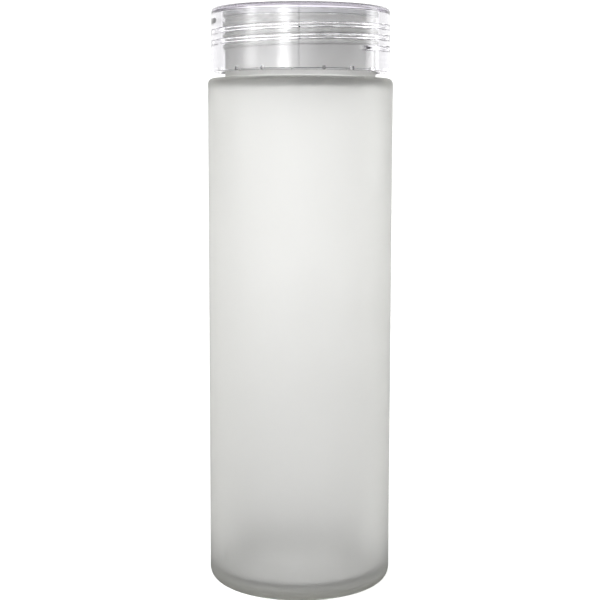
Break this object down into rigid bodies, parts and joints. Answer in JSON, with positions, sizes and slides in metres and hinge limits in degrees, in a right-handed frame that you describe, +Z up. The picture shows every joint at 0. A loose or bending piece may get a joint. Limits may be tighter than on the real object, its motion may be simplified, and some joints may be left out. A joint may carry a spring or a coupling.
{
  "type": "glass water bottle",
  "caption": "Cylindrical satin-etched glass water bottle with a clear screw-on plastic lid and a silicone seal under it.",
  "frame": {"origin": "centre of the circle that the bottle stands on", "axes": "+Z up along the bottle's axis, from the base to the lid; X and Y lie in the standing plane"},
  "size_m": [0.07, 0.07, 0.2196],
  "materials": {
    "etched_glass": "satin",
    "clear_plastic": "polished",
    "silicone": "satin"
  },
  "bodies": {
    "bottle": {"glass_bottle": "etched_glass"},
    "seal": {"seal_ring": "silicone"},
    "lid": {"lid": "clear_plastic"}
  },
  "joints": [
    {"name": "lid_rise", "type": "slide", "parent": "bottle", "child": "seal", "axis": [0, 0, 1], "range_m": [0, 0.0281]},
    {"name": "lid_turn", "type": "hinge", "parent": "seal", "child": "lid", "pos_m": [0, 0, 0.1957], "axis": [0, 0, 1], "range_deg": [0, 2520]}
  ],
  "couplings": [
    {"joint": "lid_rise", "follows": "lid_turn", "m_per_rad": 0.00063662}
  ]
}
